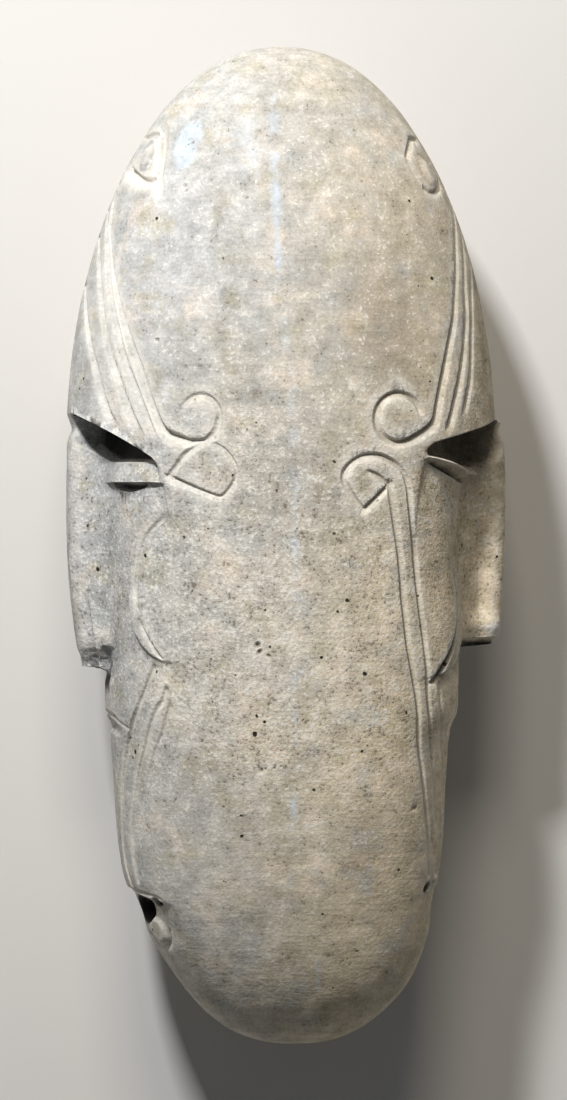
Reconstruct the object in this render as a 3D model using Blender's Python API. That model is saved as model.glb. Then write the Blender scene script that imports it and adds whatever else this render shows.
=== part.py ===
"""A two-headed stone carving, lying on its back.

Two long faces look left (-X) and right (+X) and share one egg-shaped skull and one long jaw.
The stone lies with its plain side up: +Y runs from the chins to the crown, +Z points up
from the surface it lies on, and the origin is the middle of its bounding box at the bottom.

Every point of the surface is found by its height along the stone and by its angle round the
stone's long axis, counted from straight ahead of the nearer face (0) to the ear side (90).
Sizes are in millimetres, angles in degrees. The mesh itself is made in metres.
"""

from collections import namedtuple

import bpy
import numpy as np

MM = 0.001

# Whole stone
HALF_LENGTH = 140.0         # crown to middle, and middle to foot
HALF_THICKNESS = 45.0       # long axis to the ear side
FLAT_SPOT_DEPTH = 1.2       # shaved off the back, so that the stone does not roll
AXIS_OFFSET = -1.45         # the long axis lies a little to the left, as the right nose is longer
SKULL_ROUNDNESS = 2.25      # exponent of the cross section: 2 is an ellipse, more is boxier
FACE_ROUNDNESS = 2.55

# Skull, above the brows
SKULL_REACH = 60.3          # long axis to the forehead, straight ahead
SKULL_DOME_START = 30.0     # height where the forehead starts to curve in
SKULL_DOME = (1.9, 2.08)    # flatness and fullness of that curve, see dome()
SIDE_DOME_START = 25.0      # height where the ear sides start to curve in
SIDE_DOME = (2.0, 2.0)

# Lower face, below the brows
JAW_REACH = 49.6            # long axis to the lips
JAW_TAPER_START = -30.0
JAW_DOME = (2.6, 2.3)
SIDE_TAPER_START = -10.0
SIDE_TAPER_DOME = (2.2, 2.3)
FOOT_SHIFT = 3.6            # the rounded foot swings to the right
FOOT_SHIFT_START = -90.0
FOOT_SHIFT_LENGTH = 35.0

# Brow, eye socket and lid
BROW_END_ANGLE = 49.0       # outer end of the brow
EAR_HEIGHT = 22.0           # the two brows' lines meet at this height on the ear side
BROW_STEP = 1.6             # height of the sharp step under the brow
BROW_FADE = 45.0            # height over which the step fades out on the ear side
BROW_FADE_ANGLES = (42.0, 54.0)
SOCKET_DEPTH = 3.5          # how far the socket sinks behind the lower face
LID_RISE = 1.6              # how far the lid's lower edge stands out
LID_FOOT = 9.0              # height over which the lid sinks back into the cheek
EYE_INNER_ANGLE = 11.0
EYE_INNER_FADE = 6.0
EYE_OUTER_ANGLE = 44.0
EYE_OUTER_FADE = 9.0
SLIT_DEPTH = 2.6
SLIT_HALF_HEIGHT = 1.1
SLIT_WALL = 0.8             # height of the slit's sloping walls

# Nose
NOSE_HALF_WIDTH = 7.5
NOSE_ROUNDING = 4.5         # radius of the ridge's long edges
NOSE_TOP = 36.0             # height where the nose runs in under the brow
NOSE_FALL_LENGTH = 42.0     # height over which the ridge drops back to its tip
NOSE_END_STEP = 1.4         # height of the wall under the nose's tip
BRIDGE_HEIGHT = 32.5        # a shallow notch across the bridge
BRIDGE_DEPTH = 1.2
BRIDGE_SPREAD = 2.2
NOSE_FLARE = 0.9            # widening towards the cheeks, per millimetre of depth
NOSE_FLARE_START = 55.0     # the flare begins this far from the long axis
NOSE_FLARE_END_ANGLE = 24.0
TIP_ROLL = 1.6              # extra half width of the roll across the nose's tip
TIP_ROLL_RISE = 4.0         # height of the roll's middle above the tip
TIP_ROLL_SPREAD = 3.2
DROOP_DEPTH = 9.0           # how far out from the lips the droop grows
DROOP_HEIGHT = 9.0          # and how far up the nose it reaches

# Cheek, mouth and chin
CHEEK_RISE = 0.9
CHEEK_EDGE = 0.125          # width of the disc's edge, in parts of its radius
CHEEK_FADE_ANGLES = (14.0, 8.0)     # the edge fades from nose side to ear side of its middle
CHEEK_FADE_TOP = 0.6
MOUTH_HEIGHT = -49.5
MOUTH_SLOPE = -0.09         # height change per degree away from the front
MOUTH_SPREAD = 1.7
MOUTH_END_ANGLE = 26.0
JAW_TRIM_START = -44.0      # below the mouth the jaw is a little slimmer
JAW_TRIM_LENGTH = 12.0
CHIN_SWELL_START = -62.0    # and swells again towards the chin
CHIN_SWELL_LENGTH = 36.0
JAW_TRIM_ANGLES = (20.0, 60.0)
CHIN_STEP = 1.2
CHIN_DROP = 3.0             # how far the chin's edge falls towards the ear side
CHIN_HOLLOW_HEIGHT = 14.0
CHIN_HOLLOW_FADE = 8.0
CHIN_END_ANGLE = 40.0
CHIN_END_FADE = 10.0

# Mesh
EYE_LEVEL = 22.0            # the rings of the mesh crowd together round this height
RING_CROWDING = 0.55
CROWDING_SPREAD = 28.0
RING_TILT = 0.7             # and follow this part of the brow's fall
RING_TILT_LEVEL = 30.0
RING_TILT_SPREAD = 45.0
SEGMENTS = 288
RINGS = 320
KEPT_TRIANGLES = 9600

Face = namedtuple("Face", [
    "brow_top",         # height of the brow's edge straight ahead
    "brow_drop",        # how far that edge falls on its way to the outer end
    "brow_curve",       # exponent of that fall
    "nose_reach",       # long axis to the ridge at its highest point
    "nose_peak",        # height of that point
    "nose_fall_up",     # how far the ridge drops back at the top of the nose
    "nose_fall_down",   # and at its tip
    "nose_end",         # height of the nose's underside
    "nose_droop",       # how far the underside hangs lower at the front than at the lip
    "cheek_angle",      # middle of the cheek disc's edge
    "cheek_height",
    "cheek_angle_size",
    "cheek_height_size",
    "mouth_depth",
    "jaw_trim",         # how much slimmer the jaw is below the mouth
    "chin_height",      # height of the step under the chin
    "chin_hollow",      # depth of the hollow under that step
    "lid_inner",        # height of the lid's lower edge beside the nose
    "lid_outer",        # and at the outer corner of the eye
])

LEFT_FACE = Face(
    brow_top=37.0, brow_drop=17.0, brow_curve=1.9,
    nose_reach=60.3, nose_peak=10.0, nose_fall_up=0.4, nose_fall_down=3.3, nose_end=-30.5, nose_droop=4.0,
    cheek_angle=48.0, cheek_height=-12.0, cheek_angle_size=18.0, cheek_height_size=21.0,
    mouth_depth=2.2, jaw_trim=1.3, chin_height=-95.5, chin_hollow=2.4,
    lid_inner=17.0, lid_outer=17.0,
)
RIGHT_FACE = Face(
    brow_top=36.5, brow_drop=10.4, brow_curve=1.6,
    nose_reach=63.2, nose_peak=12.0, nose_fall_up=0.8, nose_fall_down=2.4, nose_end=-28.3, nose_droop=0.8,
    cheek_angle=42.0, cheek_height=-17.0, cheek_angle_size=25.0, cheek_height_size=20.0,
    mouth_depth=1.0, jaw_trim=2.4, chin_height=-93.8, chin_hollow=0.6,
    lid_inner=16.0, lid_outer=23.5,
)

STONE_COLOUR = (0.62, 0.58, 0.51, 1.0)
STONE_ROUGHNESS = 0.85


def ease(value):
    """0 below 0, 1 above 1, and a smooth S between them."""
    t = np.clip(value, 0.0, 1.0)
    return t * t * (3.0 - 2.0 * t)


def ease_between(value, start, end):
    """0 before start, 1 after end, and a smooth S between them."""
    return ease((value - start) / (end - start))


def bump(value):
    """1 at 0, falling smoothly on both sides."""
    return np.exp(-value * value)


def dome(part, flatness, fullness):
    """Quarter outline of an egg: 1 at part 0, closing to 0 at part 1."""
    t = np.clip(part, 0.0, 1.0)
    return (1.0 - t ** flatness) ** (1.0 / fullness)


def per_face(is_right, name):
    """The named size of the face that each point belongs to."""
    return np.where(is_right, getattr(RIGHT_FACE, name), getattr(LEFT_FACE, name))


def skull_reach(height):
    part = (height - SKULL_DOME_START) / (HALF_LENGTH - SKULL_DOME_START)
    return SKULL_REACH * dome(part, *SKULL_DOME)


def jaw_reach(height):
    part = (JAW_TAPER_START - height) / (HALF_LENGTH + JAW_TAPER_START)
    return JAW_REACH * dome(part, *JAW_DOME)


def half_thickness(height):
    upper = dome((height - SIDE_DOME_START) / (HALF_LENGTH - SIDE_DOME_START), *SIDE_DOME)
    lower = dome((SIDE_TAPER_START - height) / (HALF_LENGTH + SIDE_TAPER_START), *SIDE_TAPER_DOME)
    return HALF_THICKNESS * np.where(height > 0.0, upper, lower)


def section_radius(angle, reach, thickness, roundness):
    """Distance from the long axis to the surface of a rounded section."""
    turn = np.radians(angle)
    ahead = np.cos(turn) / np.maximum(reach, 0.01)
    aside = np.sin(turn) / np.maximum(thickness, 0.01)
    return (ahead ** roundness + aside ** roundness) ** (-1.0 / roundness)


def brow_height(angle, is_right):
    """Height of the brow's lower edge."""
    along = np.minimum(angle / BROW_END_ANGLE, 1.0)
    fall = per_face(is_right, "brow_drop") * along ** per_face(is_right, "brow_curve")
    edge = per_face(is_right, "brow_top") - fall
    return edge + (EAR_HEIGHT - edge) * ease_between(angle, BROW_END_ANGLE, 90.0)


def brow_blend(angle, height, is_right):
    """1 on the skull, 0 on the lower face: a sharp step at the eye that fades out beside it."""
    step = BROW_STEP + BROW_FADE * ease_between(angle, *BROW_FADE_ANGLES)
    return ease((height - brow_height(angle, is_right) + step) / step)


def lid_height(angle, is_right):
    """Height of the lid's lower edge."""
    along = (angle - EYE_INNER_ANGLE) / (EYE_OUTER_ANGLE - EYE_INNER_ANGLE)
    inner = per_face(is_right, "lid_inner")
    return inner + (per_face(is_right, "lid_outer") - inner) * np.clip(along, 0.0, 1.0)


def eye_offset(angle, height, is_right):
    """The socket sinks in under the brow and the lid swells out down to its edge."""
    across = ease((angle - EYE_INNER_ANGLE) / EYE_INNER_FADE)
    across = across * ease((EYE_OUTER_ANGLE + 5.0 - angle) / EYE_OUTER_FADE)
    brow = brow_height(angle, is_right) - BROW_STEP
    lid_edge = lid_height(angle, is_right)
    down = np.clip((brow - height) / np.maximum(brow - lid_edge, 1.0), 0.0, 1.0)
    below_lid = ease((lid_edge - height) / LID_FOOT)
    lid = -SOCKET_DEPTH * (1.0 - down) ** 1.5 + LID_RISE * ease(down) * (1.0 - below_lid)
    return lid * across * ease(brow + 1.0 - height)


def slit_offset(angle, height, is_right):
    """The dark gap under the lid, a lying crescent."""
    middle = 0.5 * (EYE_INNER_ANGLE + EYE_OUTER_ANGLE)
    along = (angle - middle) / (0.5 * (EYE_OUTER_ANGLE - EYE_INNER_ANGLE))
    opening = SLIT_HALF_HEIGHT * np.sqrt(np.clip(1.0 - along * along, 0.0, 1.0))
    from_middle = np.abs(height - lid_height(angle, is_right) + SLIT_HALF_HEIGHT)
    inside = ease((opening - from_middle) / SLIT_WALL + 0.5)
    return -SLIT_DEPTH * inside * (opening > 0.0)


def cheek_offset(angle, height, is_right):
    """A round cheek disc stands out a little, with its edge towards the nose."""
    across = (angle - per_face(is_right, "cheek_angle")) / per_face(is_right, "cheek_angle_size")
    up = (height - per_face(is_right, "cheek_height")) / per_face(is_right, "cheek_height_size")
    distance = np.hypot(across, up)
    inside = ease((1.0 - distance) / CHEEK_EDGE)
    before, after = CHEEK_FADE_ANGLES
    facing = ease((per_face(is_right, "cheek_angle") + after - angle) / (before + after))
    lower = ease(CHEEK_FADE_TOP - up)
    return CHEEK_RISE * inside * facing * lower


def mouth_offset(angle, height, is_right):
    line = MOUTH_HEIGHT + MOUTH_SLOPE * angle
    fade = ease((MOUTH_END_ANGLE - angle) / MOUTH_END_ANGLE)
    return -per_face(is_right, "mouth_depth") * bump((height - line) / MOUTH_SPREAD) * fade


def chin_offset(angle, height, is_right):
    """The jaw is trimmed below the mouth and ends in a step with a hollow under it."""
    edge = per_face(is_right, "chin_height") - CHIN_DROP * ease(angle / CHIN_END_ANGLE)
    across = ease((CHIN_END_ANGLE - angle) / CHIN_END_FADE)
    trim = ease((JAW_TRIM_START - height) / JAW_TRIM_LENGTH)
    trim = trim * (1.0 - ease((CHIN_SWELL_START - height) / CHIN_SWELL_LENGTH))
    trim = trim * per_face(is_right, "jaw_trim") * (1.0 - ease_between(angle, *JAW_TRIM_ANGLES))
    hollow = ease((edge - height) / CHIN_STEP)
    hollow = hollow * ease((height - edge + CHIN_HOLLOW_HEIGHT) / CHIN_HOLLOW_FADE)
    return -trim - per_face(is_right, "chin_hollow") * hollow * across


def nose_radius(angle, height, is_right):
    """Distance from the long axis to a slab with rounded long edges, flaring at its root."""
    turn = np.radians(np.maximum(angle, 0.01))
    ahead = np.cos(turn)
    aside = np.sin(turn)
    roll = bump((height - per_face(is_right, "nose_end") - TIP_ROLL_RISE) / TIP_ROLL_SPREAD)
    up = (height - per_face(is_right, "nose_peak")) / (NOSE_TOP - per_face(is_right, "nose_peak"))
    down = (per_face(is_right, "nose_peak") - height) / NOSE_FALL_LENGTH
    front = per_face(is_right, "nose_reach")
    front = front - per_face(is_right, "nose_fall_up") * np.clip(up, 0.0, 1.2) ** 2
    front = front - per_face(is_right, "nose_fall_down") * np.clip(down, 0.0, 1.2) ** 2
    front = front - BRIDGE_DEPTH * bump((height - BRIDGE_HEIGHT) / BRIDGE_SPREAD)
    width = NOSE_HALF_WIDTH + TIP_ROLL * roll
    corner_ahead = front - NOSE_ROUNDING
    corner_aside = width - NOSE_ROUNDING
    along = corner_ahead * ahead + corner_aside * aside
    square = NOSE_ROUNDING ** 2 - corner_ahead ** 2 - corner_aside ** 2 + along ** 2
    radius = along + np.sqrt(np.maximum(square, 0.0))
    radius = np.where(np.tan(turn) * front < corner_aside, front / ahead, radius)
    radius = np.where(width / np.tan(turn) < corner_ahead, width / aside, radius)
    flare = (width + NOSE_FLARE * NOSE_FLARE_START) / (aside + NOSE_FLARE * ahead)
    flare = np.minimum(flare, corner_ahead / ahead) * (angle < NOSE_FLARE_END_ANGLE)
    return np.maximum(radius, flare)


def stone_radius(angle, height, is_right):
    """Distance from the long axis to the carved surface."""
    thickness = half_thickness(height)
    skull = section_radius(angle, skull_reach(height), thickness, SKULL_ROUNDNESS)
    face = section_radius(angle, jaw_reach(height), thickness, FACE_ROUNDNESS)
    face = face + eye_offset(angle, height, is_right)
    face = face + slit_offset(angle, height, is_right)
    face = face + cheek_offset(angle, height, is_right)
    face = face + mouth_offset(angle, height, is_right)
    face = face + chin_offset(angle, height, is_right)
    nose = np.maximum(nose_radius(angle, height, is_right), face)
    nose_end = per_face(is_right, "nose_end")
    face = face + (nose - face) * ease((height - nose_end) / NOSE_END_STEP)
    blend = brow_blend(angle, height, is_right)
    return face + (skull - face) * blend


def carve(mesh):
    """Moves the points of a unit sphere, poles at top and bottom, onto the stone."""
    points = np.empty(len(mesh.vertices) * 3)
    mesh.vertices.foreach_get("co", points)
    points = points.reshape(-1, 3)
    is_right = points[:, 0] > 0.0
    aside = np.abs(points[:, 1])
    angle = np.degrees(np.arctan2(aside, np.abs(points[:, 0])))
    height = HALF_LENGTH * points[:, 2]
    from_eyes = height - EYE_LEVEL
    height = height - RING_CROWDING * from_eyes * bump(from_eyes / CROWDING_SPREAD)
    near_brow = bump((height - RING_TILT_LEVEL) / RING_TILT_SPREAD) * (1.0 - points[:, 2] ** 8)
    brow_fall = brow_height(angle, is_right) - per_face(is_right, "brow_top")
    height = height + RING_TILT * brow_fall * near_brow
    radius = stone_radius(angle, height, is_right)
    turn = np.radians(angle)
    ahead = radius * np.cos(turn)
    above_tip = height - per_face(is_right, "nose_end")
    hanging = ease((ahead - jaw_reach(height)) / DROOP_DEPTH) * ease((DROOP_HEIGHT - above_tip) / 8.0)
    height = height - per_face(is_right, "nose_droop") * hanging * (above_tip > -4.0)
    foot = FOOT_SHIFT * ease((FOOT_SHIFT_START - height) / FOOT_SHIFT_LENGTH)
    x = AXIS_OFFSET + foot + np.where(is_right, ahead, -ahead)
    z = radius * np.sin(turn) * np.sign(-points[:, 1])
    floor = FLAT_SPOT_DEPTH - HALF_THICKNESS
    z = np.maximum(z, floor) - floor
    pole = np.abs(points[:, 2]) > 0.99999
    x = np.where(pole, AXIS_OFFSET + foot, x)
    moved = np.stack([x, height, z], axis=1) * MM
    mesh.vertices.foreach_set("co", moved.ravel())
    mesh.update()


def stone_material():
    material = bpy.data.materials.new("pale weathered stone")
    material.use_nodes = True
    shader = material.node_tree.nodes["Principled BSDF"]
    shader.inputs["Base Color"].default_value = STONE_COLOUR
    shader.inputs["Roughness"].default_value = STONE_ROUGHNESS
    shader.inputs["Metallic"].default_value = 0.0
    return material


def make_stone(collection):
    bpy.ops.mesh.primitive_uv_sphere_add(segments=SEGMENTS, ring_count=RINGS, radius=1.0)
    stone = bpy.context.object
    stone.name = "carved_stone"
    stone.data.name = "carved_stone"
    for owner in list(stone.users_collection):
        owner.objects.unlink(stone)
    collection.objects.link(stone)
    carve(stone.data)
    triangles = sum(len(face.vertices) - 2 for face in stone.data.polygons)
    thinner = stone.modifiers.new("fewer faces", "DECIMATE")
    thinner.ratio = KEPT_TRIANGLES / triangles
    thinner.use_collapse_triangulate = True
    stone.data.shade_smooth()
    stone.data.materials.append(stone_material())
    return stone


def main():
    for item in list(bpy.data.objects):
        bpy.data.objects.remove(item)
    collection = bpy.data.collections.new("two-headed stone carving")
    bpy.context.scene.collection.children.link(collection)
    make_stone(collection)


main()
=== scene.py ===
"""The looks of a two-headed stone carving that lies on its back under soft studio light.

The stone is one mesh. It starts as a sphere, is drawn out into the two-faced form, and is then
carved: grooves, scrolls, ledges, pits and chips are all pushed into the surface. Places on the
stone are given as an angle round its long axis and a height along it. The angle counts from
straight ahead of the nearer face (0) to the ear side that faces up (90); the same places on
the side that lies down have negative angles. Sizes are in millimetres, angles in degrees.
"""

import math
from collections import namedtuple

import bpy
import numpy as np
from mathutils import Matrix, Vector


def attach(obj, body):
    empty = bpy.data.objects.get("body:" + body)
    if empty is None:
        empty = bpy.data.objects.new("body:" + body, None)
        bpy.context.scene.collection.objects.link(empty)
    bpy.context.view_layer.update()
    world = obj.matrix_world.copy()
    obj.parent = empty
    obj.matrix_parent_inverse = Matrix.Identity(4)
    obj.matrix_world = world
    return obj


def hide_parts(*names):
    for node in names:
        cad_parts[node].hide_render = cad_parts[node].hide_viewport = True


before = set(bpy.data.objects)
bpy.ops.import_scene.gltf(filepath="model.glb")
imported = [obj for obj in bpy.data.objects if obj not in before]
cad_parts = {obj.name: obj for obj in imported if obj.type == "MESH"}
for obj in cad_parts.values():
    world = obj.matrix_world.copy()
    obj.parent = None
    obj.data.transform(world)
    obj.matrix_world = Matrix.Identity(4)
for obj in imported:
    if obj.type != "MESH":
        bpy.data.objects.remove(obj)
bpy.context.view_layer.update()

MM = 0.001

# ---------------------------------------------------------------- the form, as in the solid

HALF_LENGTH = 140.0
HALF_THICKNESS = 45.0
FLAT_SPOT_DEPTH = 1.2
AXIS_HEIGHT = HALF_THICKNESS - FLAT_SPOT_DEPTH
AXIS_OFFSET = -1.45
SKULL_ROUNDNESS = 2.25
FACE_ROUNDNESS = 2.55

SKULL_REACH = 60.3
SKULL_DOME_START = 30.0
SKULL_DOME = (1.9, 2.08)
SIDE_DOME_START = 25.0
SIDE_DOME = (2.0, 2.0)

JAW_REACH = 49.6
JAW_TAPER_START = -30.0
JAW_DOME = (2.6, 2.3)
SIDE_TAPER_START = -10.0
SIDE_TAPER_DOME = (2.2, 2.3)
FOOT_SHIFT = 3.6
FOOT_SHIFT_START = -90.0
FOOT_SHIFT_LENGTH = 35.0

BROW_END_ANGLE = 49.0
EAR_HEIGHT = 22.0
BROW_STEP = 1.6
BROW_FADE = 45.0
BROW_FADE_ANGLES = (42.0, 54.0)
SOCKET_DEPTH = 5.0
SOCKET_LIP_PART = 0.6       # of that depth, just above the lid
SOCKET_DEEPENING = 6.0
SOCKET_WALL = 0.9
LID_START_ANGLE = 11.0
LID_END_ANGLE = 44.0
EYE_OUTER_ANGLE = 49.0
EYE_OUTER_FADE = 7.0
SLIT_WALL = 0.6

NOSE_HALF_WIDTH = 7.5
NOSE_ROUNDING = 4.5
NOSE_TOP = 36.0
NOSE_FALL_LENGTH = 42.0
NOSTRIL_ANGLES = (8.0, 13.0)    # from here to here the nose's end rises
NOSE_FILLET = 3.2
BRIDGE_HEIGHT = 32.5
BRIDGE_DEPTH = 1.2
BRIDGE_SPREAD = 2.2
NOSE_FLARE = 0.9
NOSE_FLARE_START = 55.0
NOSE_FLARE_END_ANGLE = 42.0
TIP_ROLL_SPREAD = 3.2

CHEEK_RISE = 1.4
CHEEK_EDGE = 0.07
CHEEK_FADE_ANGLES = (14.0, 8.0)
CHEEK_FADE_TOP = 0.6
MOUTH_HEIGHT = -49.5
MOUTH_SLOPE = -0.09
MOUTH_SPREAD = 1.7
MOUTH_END_ANGLE = 26.0
JAW_TRIM_START = -44.0
JAW_TRIM_LENGTH = 12.0
CHIN_SWELL_START = -62.0
CHIN_SWELL_LENGTH = 36.0
JAW_TRIM_ANGLES = (20.0, 60.0)
CHIN_STEP = 1.2
CHIN_DROP = 3.0
CHIN_HOLLOW_HEIGHT = 14.0
CHIN_HOLLOW_FADE = 8.0
CHIN_END_ANGLE = 40.0
CHIN_END_FADE = 10.0

# Each face's own heights, angles, depths, reaches and fading lengths.
LEFT_FACE = dict(
    brow_top=37.0, brow_drop=17.0, brow_curve=1.9,
    nose_reach=60.3, nose_peak=10.0, nose_fall_up=0.4, nose_fall_down=3.3, nose_end=-35.8, nose_step=1.4,
    nostril_rise=6.5, shade_start=0.5, roll_height=-25.6, tip_roll=1.0,
    break_depth=2.6, break_rise=7.4, break_slope=6.6, front_break=0.0,
    cheek_angle=48.0, cheek_height=-12.0, cheek_angle_size=18.0, cheek_height_size=21.0,
    mouth_depth=1.6, jaw_trim=1.3, chin_height=-95.5, chin_hollow=1.4,
    lid_inner=16.8, lid_outer=16.5, lid_thickness=6.4, lid_thinning=0.0, lid_crest=0.06, lid_rise=1.5,
    lid_tip=12.0, lid_fade=8.0, eye_inner=5.5, eye_inner_fade=2.5,
    corner_angle=18.0, corner_reach=10.0, corner_rise=3.5, slit_inner=19.0, slit_outer=38.8,
    slit_half_height=0.8, slit_depth=2.6,
)
RIGHT_FACE = dict(
    brow_top=36.5, brow_drop=9.4, brow_curve=1.15,
    nose_reach=63.2, nose_peak=12.0, nose_fall_up=0.8, nose_fall_down=2.4, nose_end=-29.4, nose_step=1.4,
    nostril_rise=1.0, shade_start=3.2, roll_height=-22.4, tip_roll=1.6,
    break_depth=3.2, break_rise=3.4, break_slope=0.8, front_break=0.4,
    cheek_angle=42.0, cheek_height=-17.0, cheek_angle_size=25.0, cheek_height_size=20.0,
    mouth_depth=1.0, jaw_trim=2.4, chin_height=-93.8, chin_hollow=0.6,
    lid_inner=17.3, lid_outer=23.0, lid_thickness=4.4, lid_thinning=0.55, lid_crest=0.5, lid_rise=2.4,
    lid_tip=9.8, lid_fade=1.2, eye_inner=4.4, eye_inner_fade=2.5,
    corner_angle=8.8, corner_reach=4.2, corner_rise=6.0, slit_inner=13.0, slit_outer=43.5,
    slit_half_height=0.6, slit_depth=1.6,
)

LEFT = -1.0
RIGHT = 1.0

# ---------------------------------------------------------------- mesh

SEGMENTS = 300
RINGS = 270
SPLITS = 2                  # each split halves the mesh's spacing
KEPT_TRIANGLES = 194000


def ease(value):
    """0 below 0, 1 above 1, and a smooth S between them."""
    t = np.clip(value, 0.0, 1.0)
    return t * t * (3.0 - 2.0 * t)


def ease_between(value, start, end):
    """0 before start, 1 after end, and a smooth S between them."""
    return ease((value - start) / (end - start))


def bump(value):
    """1 at 0, falling smoothly on both sides."""
    return np.exp(-value * value)


def dome(part, flatness, fullness):
    """Quarter outline of an egg: 1 at part 0, closing to 0 at part 1."""
    t = np.clip(part, 0.0, 1.0)
    return (1.0 - t ** flatness) ** (1.0 / fullness)


def per_face(is_right, name):
    """The named size of the face that each point belongs to."""
    return np.where(is_right, RIGHT_FACE[name], LEFT_FACE[name])


def skull_reach(height):
    part = (height - SKULL_DOME_START) / (HALF_LENGTH - SKULL_DOME_START)
    return SKULL_REACH * dome(part, *SKULL_DOME)


def jaw_reach(height):
    part = (JAW_TAPER_START - height) / (HALF_LENGTH + JAW_TAPER_START)
    return JAW_REACH * dome(part, *JAW_DOME)


def half_thickness(height):
    upper = dome((height - SIDE_DOME_START) / (HALF_LENGTH - SIDE_DOME_START), *SIDE_DOME)
    lower = dome((SIDE_TAPER_START - height) / (HALF_LENGTH + SIDE_TAPER_START), *SIDE_TAPER_DOME)
    return HALF_THICKNESS * np.where(height > 0.0, upper, lower)


def section_radius(angle, reach, thickness, roundness):
    """Distance from the long axis to the surface of a rounded section."""
    turn = np.radians(angle)
    ahead = np.cos(turn) / np.maximum(reach, 0.01)
    aside = np.sin(turn) / np.maximum(thickness, 0.01)
    return (ahead ** roundness + aside ** roundness) ** (-1.0 / roundness)


def brow_height(angle, is_right):
    """Height of the brow's lower edge."""
    along = np.minimum(angle / BROW_END_ANGLE, 1.0)
    fall = per_face(is_right, "brow_drop") * along ** per_face(is_right, "brow_curve")
    edge = per_face(is_right, "brow_top") - fall
    return edge + (EAR_HEIGHT - edge) * ease_between(angle, BROW_END_ANGLE, 90.0)


def brow_blend(angle, height, is_right):
    """1 on the skull, 0 on the lower face: a sharp step at the eye that fades out beside it."""
    step = BROW_STEP + BROW_FADE * ease_between(angle, *BROW_FADE_ANGLES)
    return ease((height - brow_height(angle, is_right) + step) / step)


def along_lid(angle):
    """0 at the lid's end by the nose, 1 at its end by the ear."""
    return np.clip((angle - LID_START_ANGLE) / (LID_END_ANGLE - LID_START_ANGLE), 0.0, 1.0)


def lid_height(angle, is_right):
    """Height of the lid's lower edge."""
    inner = per_face(is_right, "lid_inner")
    return inner + (per_face(is_right, "lid_outer") - inner) * along_lid(angle)


def lid_thickness(angle, is_right):
    return per_face(is_right, "lid_thickness") * (1.0 - per_face(is_right, "lid_thinning") * along_lid(angle))


def eye_reach(angle, is_right):
    """1 across the eye, 0 at the nose and beyond the outer corner."""
    inner = ease((angle - per_face(is_right, "eye_inner")) / per_face(is_right, "eye_inner_fade"))
    return inner * ease((EYE_OUTER_ANGLE - angle) / EYE_OUTER_FADE)


def socket_cover(angle, height, is_right):
    """1 in the hollow between the brow and the lid."""
    brow = brow_height(angle, is_right) - BROW_STEP
    corner = (per_face(is_right, "corner_angle") - angle) / per_face(is_right, "corner_reach")
    corner = np.clip(corner, 0.0, 1.2) ** 2
    top = lid_height(angle, is_right) + lid_thickness(angle, is_right)
    top = np.minimum(top + per_face(is_right, "corner_rise") * corner, brow)
    return ease((height - top) / SOCKET_WALL) * ease(brow + 1.0 - height)


def slit_cover(angle, height, is_right):
    """1 in the gap under the lid: a crescent, straight above and curved below."""
    inner = per_face(is_right, "slit_inner")
    outer = per_face(is_right, "slit_outer")
    along = (2.0 * angle - inner - outer) / (outer - inner)
    opening = per_face(is_right, "slit_half_height") * np.clip(1.0 - along ** 2, 0.0, 1.0)
    from_middle = np.abs(height - lid_height(angle, is_right) + opening)
    return ease((opening - from_middle) / SLIT_WALL + 0.5) * ease(4.0 * opening)


def eye_offset(angle, height, is_right):
    """The socket sinks in under the brow, the lid is a low roll below it, and a slit cuts in under it."""
    brow = brow_height(angle, is_right) - BROW_STEP
    edge = lid_height(angle, is_right)
    thickness = np.maximum(np.minimum(lid_thickness(angle, is_right), brow - edge), 0.5)
    up = np.clip((height - edge) / thickness, 0.0, 1.0)
    crest = per_face(is_right, "lid_crest")
    roll = ease(up / crest) * (1.0 - np.clip((up - crest) / (1.0 - crest), 0.0, 1.0) ** 2)
    shown = ease((angle - per_face(is_right, "lid_tip")) / per_face(is_right, "lid_fade"))
    roll = roll * per_face(is_right, "lid_rise") * shown
    deep = ease((height - edge - thickness) / SOCKET_DEEPENING)
    deep = SOCKET_LIP_PART + (1.0 - SOCKET_LIP_PART) * deep
    sunk = SOCKET_DEPTH * deep * socket_cover(angle, height, is_right)
    cut = per_face(is_right, "slit_depth") * slit_cover(angle, height, is_right)
    return (roll - sunk) * eye_reach(angle, is_right) - cut


def cheek_offset(angle, height, is_right):
    """A round cheek disc stands out a little, with its edge towards the nose."""
    across = (angle - per_face(is_right, "cheek_angle")) / per_face(is_right, "cheek_angle_size")
    up = (height - per_face(is_right, "cheek_height")) / per_face(is_right, "cheek_height_size")
    distance = np.hypot(across, up)
    inside = ease((1.0 - distance) / CHEEK_EDGE)
    before, after = CHEEK_FADE_ANGLES
    facing = ease((per_face(is_right, "cheek_angle") + after - angle) / (before + after))
    lower = ease(CHEEK_FADE_TOP - up)
    return CHEEK_RISE * inside * facing * lower


def mouth_offset(angle, height, is_right):
    line = MOUTH_HEIGHT + MOUTH_SLOPE * angle
    fade = ease((MOUTH_END_ANGLE - angle) / MOUTH_END_ANGLE)
    return -per_face(is_right, "mouth_depth") * bump((height - line) / MOUTH_SPREAD) * fade


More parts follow.
